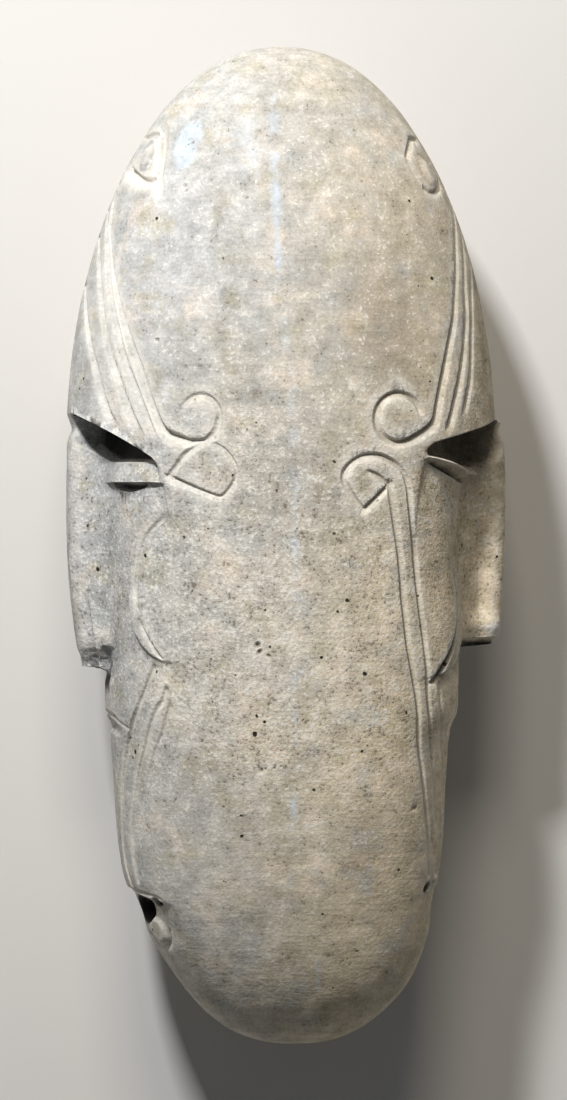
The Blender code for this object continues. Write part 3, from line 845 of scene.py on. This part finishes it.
# Veins and worn bands are laid out as grooves, whose depth says how much of the ground they cover.
PALE_VEINS = [
    Groove(LEFT, [(79.0, 132.0), (82.0, 100.0), (84.0, 72.0), (88.5, 40.0), (89.5, 0.0), (89.5, -53.0),
                  (88.7, -97.0)], (4.6, 3.2), (0.75, 0.55), (6, 6), False),
    Groove(RIGHT, [(81.5, -112.0), (80.5, -118.0), (79.5, -125.5)], (3.0, 3.0), (0.7, 0.7), (4, 4), False),
    Groove(LEFT, [(12.0, 68.0), (12.8, 62.2), (13.5, 56.0)], (2.2, 2.2), (0.8, 0.8), (2, 2), False),
]
WORN_AND_HIGHLIT_BANDS = [
    Groove(LEFT, [(22.0, 113.4), (25.2, 111.2), (28.3, 107.8), (30.9, 103.8), (32.4, 101.0), (34.5, 97.6),
                  (36.2, 93.6)], (4.4, 3.2), (1.2, 0.8), (1, 4), False),
    Groove(LEFT, [(31.5, 100.2), (28.5, 99.2), (24.0, 99.6), (17.6, 101.4), (11.0, 103.2), (5.0, 105.5)],
           (3.2, 4.4), (1.1, 1.2), (1, 4), False),
    # This band across the right nose's tip roll is a painted highlight.
    Groove(RIGHT, [(12.0, -22.6), (8.5, -22.8), (4.0, -22.6)], (5.0, 5.0), (0.8, 0.8), (2, 0), False),
]
# Patches and stains are ovals, and the colour covers as much as they are sunk.
PALE_PATCHES_AND_HIGHLIGHT = [
    (LEFT, (39.2, 110.6), (5.2, 9.4), 0.0, -1.0, 0.6), (LEFT, (29.4, 35.6), (1.8, 3.4), -10.0, -0.8, 0.4),
    # The next two large soft patches, on the upper left of the crown, are a painted highlight.
    (LEFT, (66.0, 110.0), (11.0, 22.0), 0.0, -0.5, 0.0), (LEFT, (72.0, 88.0), (8.0, 16.0), 0.0, -0.3, 0.0),
]
BROWN_STAINS = [
    (LEFT, (74.6, 40.5), (2.4, 3.0), 20.0, -1.0, 0.2), (RIGHT, (82.0, 15.5), (1.6, 7.0), 0.0, -1.0, 0.2),
    (RIGHT, (48.3, -1.4), (1.3, 3.4), 0.0, -1.2, 0.2), (RIGHT, (60.0, 62.0), (18.0, 30.0), 0.0, -0.6, 0.0),
    (RIGHT, (62.0, -84.0), (10.0, 16.0), 0.0, -0.6, 0.0), (LEFT, (33.0, -60.0), (4.0, 12.0), 15.0, -0.5, 0.0),
    (LEFT, (22.0, 106.0), (8.0, 14.0), 0.0, -0.35, 0.3), (RIGHT, (24.0, 104.0), (7.0, 13.0), 0.0, -0.25, 0.3),
]


def patches(base, ovals):
    """How strongly each point is covered by soft-edged patches."""
    cover = np.zeros(len(base))
    for oval in ovals:
        press_oval(base, cover, *oval)
    return -cover * (1.0 + 0.5 * noise(base, 3.0, 8) + 0.3 * noise(base, 1.5, 9))


RIGHT_SOCKET_SHADE = 0.75    # painted shade: the left socket is painted fully dark, the right one this much
# Painted shade along the right cheek's edge line, this strong.
CHEEK_LINE_SHADE = 0.35
# Pits and holes are painted darker by their depth, as shade.
PIT_SHADE = 0.6
NOSE_SHADE_LENGTH = 6.0
NOSE_SHADE_ANGLE = 12.5
EDGE_RUBBING = 7.0
VEIN_COVER = 0.7


def depth_of_cuts(points, grooves):
    """How deep the grooves would be in an uncarved surface."""
    relief = np.zeros(len(points))
    for groove in grooves:
        cut_groove(points, relief, groove, groove.places)
    return -relief


def under_nose(angle, height, is_right):
    """1 in the corner right under the end of the nose, where shade is painted."""
    end = nose_end_height(angle, is_right)
    shade = ease((end + per_face(is_right, "shade_start") - height) / 1.2)
    shade = shade * ease((height - end + NOSE_SHADE_LENGTH) / 3.0)
    return shade * ease((NOSE_SHADE_ANGLE - angle) / 3.0)


def mark_surface(mesh):
    """Stores where grooves and worn edges are, and where shade is painted dark into the sockets, eye slits,
    hollows, pits and under the noses, for the colours there.
    """
    points = vectors(mesh.vertices, "co") / MM
    side, angle, height = find_place(points)
    base = place(side, angle, height)
    near = np.abs(angle)
    is_right = side > 0.0

    relief = np.zeros(len(base))
    carve_grooves(base, relief)
    add_mark(mesh, "groove_depth", -relief)

    # Painted shade, near black: the sockets, the eye slits, the right cheek's edge line, the hole under the
    # left chin, pits by their depth, and the corner under each nose.
    socket = socket_cover(near, height, is_right) * eye_reach(near, is_right)
    socket = socket * np.where(is_right, RIGHT_SOCKET_SHADE, 1.0)
    slit = slit_cover(near, height, is_right)
    hollows = CHEEK_LINE_SHADE * depth_of_cuts(base, [SHADED_CHEEK_LINE])
    press_oval(base, hollows, *SHADED_CHIN_HOLE)
    relief = np.zeros(len(base))
    press_ovals(base, relief)
    press_pits(base, relief)
    shaded = under_nose(near, height, is_right)
    add_mark(mesh, "painted_shade", np.maximum.reduce([socket, slit, -PIT_SHADE * relief, shaded, hollows]))

    # Rubbed edges and the worn bands on the crown loops are wear; the band across the right nose's tip is a
    # painted highlight.
    worn_and_highlit = depth_of_cuts(base, WORN_AND_HIGHLIT_BANDS)
    add_mark(mesh, "edge_wear", EDGE_RUBBING * edge_wear(mesh, points) + worn_and_highlit)
    # Pale veins and patches, and a painted highlight on the upper left of the crown.
    broken = VEIN_COVER + 0.6 * noise(base, 5.0, 10) + 0.4 * noise(base, 2.0, 12)
    veins = depth_of_cuts(base, PALE_VEINS) * broken
    add_mark(mesh, "pale_vein_and_highlight", veins + patches(base, PALE_PATCHES_AND_HIGHLIGHT))
    add_mark(mesh, "brown_stain", patches(base, BROWN_STAINS))


def apply_modifier(piece, kind, **settings):
    bpy.ops.object.select_all(action="DESELECT")
    piece.select_set(True)
    bpy.context.view_layer.objects.active = piece
    modifier = piece.modifiers.new(kind.lower(), kind)
    for name, value in settings.items():
        setattr(modifier, name, value)
    bpy.ops.object.modifier_apply(modifier=modifier.name)


def order_faces(mesh):
    """Lists the faces in a fixed order: a new sphere's order varies, and the thinning depends on it."""
    faces = []
    for face in mesh.polygons:
        corners = list(face.vertices)
        first = corners.index(min(corners))
        faces.append(corners[first:] + corners[:first])
    points = [point.co.copy() for point in mesh.vertices]
    mesh.clear_geometry()
    mesh.from_pydata(points, [], sorted(faces))


def make_stone():
    bpy.ops.object.select_all(action="DESELECT")
    bpy.ops.mesh.primitive_uv_sphere_add(segments=SEGMENTS, ring_count=RINGS, radius=1.0)
    stone = bpy.context.object
    stone.name = "two_headed_stone"
    stone.data.name = "two_headed_stone"
    order_faces(stone.data)
    apply_modifier(stone, "SUBSURF", subdivision_type="SIMPLE", levels=SPLITS, render_levels=SPLITS)
    shape_stone(stone.data)
    triangles = 2 * len(stone.data.polygons)
    apply_modifier(stone, "DECIMATE", ratio=KEPT_TRIANGLES / triangles, use_collapse_triangulate=True)
    mark_surface(stone.data)
    stone.data.shade_smooth()
    return stone


# ---------------------------------------------------------------- material

def linear(hex_colour):
    """An sRGB hex colour as linear red, green, blue and alpha."""
    parts = [int(hex_colour[i:i + 2], 16) / 255.0 for i in (1, 3, 5)]
    return tuple(p / 12.92 if p <= 0.04045 else ((p + 0.055) / 1.055) ** 2.4 for p in parts) + (1.0,)


def add_node(tree, kind, settings=(), **links):
    """Adds a node with its settings, then values or links for its inputs."""
    node = tree.nodes.new("ShaderNode" + kind)
    for name, value in dict(settings).items():
        setattr(node, name, value)
    for name, value in links.items():
        key = int(name[1:]) if name[0] == "i" and name[1:].isdigit() else name.replace("_", " ")
        if isinstance(value, bpy.types.NodeSocket):
            tree.links.new(value, node.inputs[key])
        else:
            node.inputs[key].default_value = value
    return node


GRAIN = 0.8                 # mm; the real grain is finer, but would not show
MOTTLING = 5.0              # mm, clusters of grains
CLOUDS = 14.0               # mm, soft patches in the stone
RUB_LENGTH = 14.0           # mm, strokes left from grinding
RUB_PITCH = 1.2             # mm
PIT_SPACING = 3.6           # mm
PIT_WANDER = 1.5            # mm, so that the pits' outlines are not round
BUMP_HEIGHT = 0.12          # mm, of the grain

GREY_GROUND = "#B9BAB8"
# Olive brown for the right side and the foot; on the right side it is partly a painted warm light.
BROWN_GROUND_AND_WARM_LIGHT = "#B8AB91"
PINKISH_CLOUD = "#C9B8A4"
OLIVE_CLOUD = "#A9A286"
GREY_CLOUD = "#AAACA8"
# Pale blue, for veins and for a painted highlight on the crown.
PALE_BLUE_VEIN_AND_HIGHLIGHT = "#C6D5E2"
BROWN_STAIN = "#6E5738"
PALE_FLECK = "#E6E3DA"
DARK_FLECK = "#655B4B"
# Pale, for rubbed edges and for a painted highlight on the right nose's tip.
RUBBED_EDGE_AND_HIGHLIGHT = "#DEDACF"
OLIVE_SILT = "#7A6A4E"
# Near black, for dark pits and for painted shade in sockets, eye slits, hollows and under the noses.
NEAR_BLACK_PITS_AND_SHADE = "#15120E"


def weathered_stone():
    """Fine-grained stone, ground smooth by hand across its length, then weathered.

    It looks matt and mottled: grey on the left, olive brown on the right and towards the foot,
    where the right side's warmth is partly a painted warm light; rougher and more speckled round
    the middle, with pale rubbed edges and groove walls, a painted highlight on the upper left of
    the crown and on the right nose's tip, near black pits, and near black painted shade in the
    sockets, the eye slits, the hollows and under the noses.
    """
    material = bpy.data.materials.new("weathered_ground_stone")
    material.use_nodes = True
    tree = material.node_tree
    shader = tree.nodes["Principled BSDF"]
    whole = add_node(tree, "TexCoord").outputs["Object"]
    axes = add_node(tree, "SeparateXYZ", Vector=whole)

    # noises of every size, and strokes across the stone
    drift = add_node(tree, "TexNoise", Vector=whole, Scale=1.0 / (3.0 * CLOUDS * MM), Detail=4.0)
    clouds = add_node(tree, "TexNoise", Vector=whole, Scale=1.0 / (CLOUDS * MM), Detail=6.0, Roughness=0.62)
    other_space = add_node(tree, "Mapping", Vector=whole, Location=(0.31, 0.17, 0.07))
    other = add_node(tree, "TexNoise", Vector=other_space.outputs[0], Scale=1.0 / (0.7 * CLOUDS * MM),
                     Detail=6.0, Roughness=0.62)
    cluster = add_node(tree, "TexNoise", Vector=whole, Scale=1.0 / (MOTTLING * MM), Detail=6.0,
                       Roughness=0.68)
    grain = add_node(tree, "TexNoise", Vector=whole, Scale=1.0 / (GRAIN * MM), Detail=1.0)
    fleck_space = add_node(tree, "Mapping", Vector=whole, Location=(0.11, 0.23, 0.05))
    flecks = add_node(tree, "TexNoise", Vector=fleck_space.outputs[0], Scale=1.0 / (1.2 * GRAIN * MM),
                      Detail=2.0, Roughness=0.6)
    stroke_space = add_node(tree, "Mapping", Vector=whole,
                            Scale=(RUB_PITCH / RUB_LENGTH, 1.0, RUB_PITCH / RUB_LENGTH))
    strokes = add_node(tree, "TexNoise", Vector=stroke_space.outputs[0], Scale=1.0 / (RUB_PITCH * MM),
                       Detail=3.0)

    # grey to olive brown, across and along the stone, with soft patches of other tints; the browner right
    # side is partly the stone's colour and partly a painted warm light
    across = add_node(tree, "Math", {"operation": "MULTIPLY_ADD"}, i0=axes.outputs["X"], i1=18.0,
                      i2=drift.outputs[0])
    along = add_node(tree, "Math", {"operation": "MULTIPLY_ADD"}, i0=axes.outputs["Y"], i1=-3.0,
                     i2=across.outputs[0])
    warm = add_node(tree, "MapRange", Value=along.outputs[0], From_Min=-0.4, From_Max=1.15)
    pinkish = add_node(tree, "MapRange", Value=clouds.outputs[0], From_Min=0.53, From_Max=0.66, To_Max=0.5)
    olive = add_node(tree, "MapRange", Value=other.outputs[0], From_Min=0.53, From_Max=0.66, To_Max=0.55)
    greyish = add_node(tree, "MapRange", Value=other.outputs[0], From_Min=0.47, From_Max=0.34, To_Max=0.55)
    colour = add_node(tree, "Mix", {"data_type": "RGBA"}, i0=warm.outputs[0], i6=linear(GREY_GROUND),
                      i7=linear(BROWN_GROUND_AND_WARM_LIGHT))
    for cover, tint in ((pinkish, PINKISH_CLOUD), (olive, OLIVE_CLOUD), (greyish, GREY_CLOUD)):
        colour = add_node(tree, "Mix", {"data_type": "RGBA"}, i0=cover.outputs[0], i6=colour.outputs[2],
                          i7=linear(tint))

    # paler towards the foot, most of all on the warmer side; clouded, grained, faintly stroked across
    lower = add_node(tree, "MapRange", Value=axes.outputs["Y"], From_Min=0.03, From_Max=-0.03)
    warmer = add_node(tree, "Math", {"operation": "MULTIPLY_ADD"}, i0=warm.outputs[0], i1=0.46, i2=-0.1)
    shade = add_node(tree, "Math", {"operation": "MULTIPLY_ADD"}, i0=lower.outputs[0], i1=warmer.outputs[0],
                     i2=1.0)
    for pattern, swing in ((clouds, 0.15), (cluster, 0.24), (grain, 0.12), (strokes, 0.07)):
        layer = add_node(tree, "MapRange", Value=pattern.outputs[0], From_Min=0.3, From_Max=0.7,
                         To_Min=1.0 - swing, To_Max=1.0 + swing)
        shade = add_node(tree, "Math", {"operation": "MULTIPLY"}, i0=shade.outputs[0], i1=layer.outputs[0])
    colour = add_node(tree, "Mix", {"data_type": "RGBA", "blend_type": "MULTIPLY"}, i0=1.0,
                      i6=colour.outputs[2], i7=shade.outputs[0])

    # where there are pale veins and patches, a painted highlight on the upper left of the crown, and brown
    # stains
    vein_and_highlight = add_node(tree, "Attribute", {"attribute_name": "pale_vein_and_highlight"})
    vein_and_highlight_part = add_node(tree, "Math", {"operation": "MULTIPLY"}, i0=vein_and_highlight.outputs["Fac"],
                         i1=cluster.outputs[0])
    vein_and_highlight_cover = add_node(tree, "MapRange", Value=vein_and_highlight_part.outputs[0], From_Min=0.1, From_Max=0.55, To_Max=0.85)
    stain = add_node(tree, "Attribute", {"attribute_name": "brown_stain"})
    stained = add_node(tree, "Math", {"operation": "MULTIPLY"}, i0=stain.outputs["Fac"],
                       i1=cluster.outputs[0])

    # flecks of pale and of dark mineral, most of them on the rough ground round the middle
    above = add_node(tree, "MapRange", Value=axes.outputs["Y"], From_Min=0.055, From_Max=0.02)
    below = add_node(tree, "MapRange", Value=axes.outputs["Y"], From_Min=-0.1, From_Max=-0.05)
    middle = add_node(tree, "Math", {"operation": "MULTIPLY"}, i0=above.outputs[0], i1=below.outputs[0])
    rough = add_node(tree, "Math", {"operation": "MULTIPLY"}, i0=middle.outputs[0], i1=drift.outputs[0])
    near_cluster = add_node(tree, "Math", {"operation": "MULTIPLY_ADD"}, i0=cluster.outputs[0], i1=0.6,
                            i2=flecks.outputs[0])
    more_pale = add_node(tree, "Math", {"operation": "MULTIPLY_ADD"}, i0=rough.outputs[0], i1=0.1,
                         i2=near_cluster.outputs[0])
    pale = add_node(tree, "MapRange", Value=more_pale.outputs[0], From_Min=0.93, From_Max=1.0, To_Max=0.7)
    more_dark = add_node(tree, "Math", {"operation": "MULTIPLY_ADD"}, i0=rough.outputs[0], i1=-0.1,
                         i2=near_cluster.outputs[0])
    dark = add_node(tree, "MapRange", Value=more_dark.outputs[0], From_Min=0.63, From_Max=0.55, To_Max=0.75)

    # groove walls and edges are rubbed pale; a band on the right nose's tip is a painted highlight
    groove = add_node(tree, "Attribute", {"attribute_name": "groove_depth"})
    edges = add_node(tree, "Attribute", {"attribute_name": "edge_wear"})
    clustered = add_node(tree, "MapRange", Value=cluster.outputs[0], From_Min=0.3, From_Max=0.7,
                         To_Min=0.76, To_Max=1.24)
    rub_and_highlight = add_node(tree, "Math", {"operation": "MULTIPLY_ADD"}, i0=groove.outputs["Fac"], i1=0.68,
                   i2=edges.outputs["Fac"])
    rubbed_and_highlit = add_node(tree, "Math", {"operation": "MULTIPLY", "use_clamp": True}, i0=rub_and_highlight.outputs[0],
                      i1=clustered.outputs[0])

    # olive silt in the warmer side's grooves; near black in pits, and near black painted shade in the
    # sockets, eye slits, hollows and under the noses
    silt = add_node(tree, "Math", {"operation": "MULTIPLY"}, i0=groove.outputs["Fac"], i1=warm.outputs[0])
    silted = add_node(tree, "MapRange", Value=silt.outputs[0], From_Min=0.4, From_Max=0.95, To_Max=0.55)
    pit_space = add_node(tree, "Mix", {"data_type": "VECTOR"}, i0=PIT_WANDER * MM, i4=whole,
                         i5=cluster.outputs["Color"])
    cells = add_node(tree, "TexVoronoi", Vector=pit_space.outputs[1], Scale=1.0 / (PIT_SPACING * MM),
                     Randomness=1.0)
    pit_ground = add_node(tree, "Math", {"operation": "MULTIPLY_ADD"}, i0=rough.outputs[0], i1=0.12,
                          i2=other.outputs[0])
    pit_size = add_node(tree, "MapRange", Value=pit_ground.outputs[0], From_Min=0.48, From_Max=0.75,
                        To_Min=-0.05, To_Max=0.26)
    pit_edge = add_node(tree, "Math", {"operation": "SUBTRACT"}, i0=pit_size.outputs[0],
                        i1=cells.outputs["Distance"])
    pitted = add_node(tree, "MapRange", Value=pit_edge.outputs[0], From_Min=0.0, From_Max=0.07)
    # The attribute read here holds painted shade: sockets, eye slits, hollows, pits and the corner under each
    # nose.
    painted_shade = add_node(tree, "Attribute", {"attribute_name": "painted_shade"})
    pit_and_painted_shade = add_node(tree, "Math", {"operation": "MAXIMUM"}, i0=pitted.outputs[0], i1=painted_shade.outputs["Fac"])
    pit_and_painted_shade_cover = add_node(tree, "Math", {"operation": "MULTIPLY"}, i0=pit_and_painted_shade.outputs[0], i1=0.97)

    for cover, tint in ((vein_and_highlight_cover, PALE_BLUE_VEIN_AND_HIGHLIGHT), (stained, BROWN_STAIN), (pale, PALE_FLECK),
                        (dark, DARK_FLECK), (rubbed_and_highlit, RUBBED_EDGE_AND_HIGHLIGHT), (silted, OLIVE_SILT),
                        (pit_and_painted_shade_cover, NEAR_BLACK_PITS_AND_SHADE)):
        colour = add_node(tree, "Mix", {"data_type": "RGBA"}, i0=cover.outputs[0], i6=colour.outputs[2],
                          i7=linear(tint))

    # height of grains, clusters, strokes and pits
    rougher = add_node(tree, "Math", {"operation": "MULTIPLY_ADD"}, i0=rough.outputs[0], i1=3.0, i2=1.2)
    grains = add_node(tree, "Math", {"operation": "MULTIPLY"}, i0=flecks.outputs[0], i1=rougher.outputs[0])
    for pattern, part in ((cluster, 2.6), (strokes, 0.8), (pitted, -3.0)):
        grains = add_node(tree, "Math", {"operation": "MULTIPLY_ADD"}, i0=pattern.outputs[0], i1=part,
                          i2=grains.outputs[0])
    relief = add_node(tree, "Bump", Height=grains.outputs[0], Distance=BUMP_HEIGHT * MM, Strength=0.8)
    dull = add_node(tree, "MapRange", Value=cluster.outputs[0], From_Min=0.3, From_Max=0.7, To_Min=0.9,
                    To_Max=0.7)
    tree.links.new(colour.outputs[2], shader.inputs["Base Color"])
    tree.links.new(relief.outputs[0], shader.inputs["Normal"])
    tree.links.new(dull.outputs[0], shader.inputs["Roughness"])
    shader.inputs["IOR"].default_value = 1.5
    shader.inputs["Specular IOR Level"].default_value = 0.3
    return material


# ---------------------------------------------------------------- stage

FRAME_HEIGHT = 0.308        # height of the view at the stone's long axis, in metres
CAMERA_DISTANCE = 1.5
CAMERA_TURN = 5.5           # degrees towards the left face
CAMERA_SHIFT = (0.0023, -0.0045)
FLOOR_SIZE = 4.0
PALE_PAPER = "#D9D7D2"
SOFT_SKY = "#E8ECF2"
SKY_STRENGTH = 0.11
COOL_WHITE = "#FCFCFF"
WARM_WHITE = "#FFF5E6"


def make_floor():
    bpy.ops.mesh.primitive_plane_add(size=FLOOR_SIZE)
    floor = bpy.context.object
    floor.name = "floor"
    material = bpy.data.materials.new("matt_pale_paper")
    material.use_nodes = True
    shader = material.node_tree.nodes["Principled BSDF"]
    shader.inputs["Base Color"].default_value = linear(PALE_PAPER)
    shader.inputs["Roughness"].default_value = 0.9
    floor.data.materials.append(material)


def aim(item, location, target, up):
    back = (location - target).normalized()
    right = up.cross(back).normalized()
    turned = Matrix((right, back.cross(right), back)).transposed().to_4x4()
    item.matrix_world = Matrix.Translation(location) @ turned


AXIS = Vector((AXIS_OFFSET, 0.0, AXIS_HEIGHT)) * MM


def make_camera():
    data = bpy.data.cameras.new("camera")
    camera = bpy.data.objects.new("camera", data)
    bpy.context.scene.collection.objects.link(camera)
    turn = math.radians(CAMERA_TURN)
    back = Vector((-math.sin(turn), 0.0, math.cos(turn)))
    aim(camera, AXIS + CAMERA_DISTANCE * back, AXIS, Vector((0.0, 1.0, 0.0)))
    data.lens = data.sensor_width * CAMERA_DISTANCE / FRAME_HEIGHT
    data.shift_x, data.shift_y = CAMERA_SHIFT
    data.clip_start = 0.05
    bpy.context.scene.camera = camera


def add_light(name, direction, distance, size, power, colour):
    """A square soft light that shines at the stone from the given direction."""
    data = bpy.data.lights.new(name, "AREA")
    data.size = size
    data.energy = power
    data.color = linear(colour)[:3]
    light = bpy.data.objects.new(name, data)
    bpy.context.scene.collection.objects.link(light)
    aim(light, AXIS + Vector(direction).normalized() * distance, AXIS, Vector((0.0, 0.0, 1.0)))


def make_lights():
    world = bpy.data.worlds.new("studio")
    bpy.context.scene.world = world
    world.use_nodes = True
    background = world.node_tree.nodes["Background"]
    background.inputs["Color"].default_value = linear(SOFT_SKY)
    background.inputs["Strength"].default_value = SKY_STRENGTH
    add_light("key", (-0.31, 0.68, 0.665), distance=0.85, size=0.09, power=7.5, colour=COOL_WHITE)
    add_light("fill", (-0.05, 0.72, 0.69), distance=1.6, size=0.4, power=8.6, colour=WARM_WHITE)


bpy.context.scene.view_settings.view_transform = "Standard"
make_camera()
stone = make_stone()
stone.data.materials.append(weathered_stone())
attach(stone, "root")
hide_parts("carved_stone")
make_floor()
make_lights()
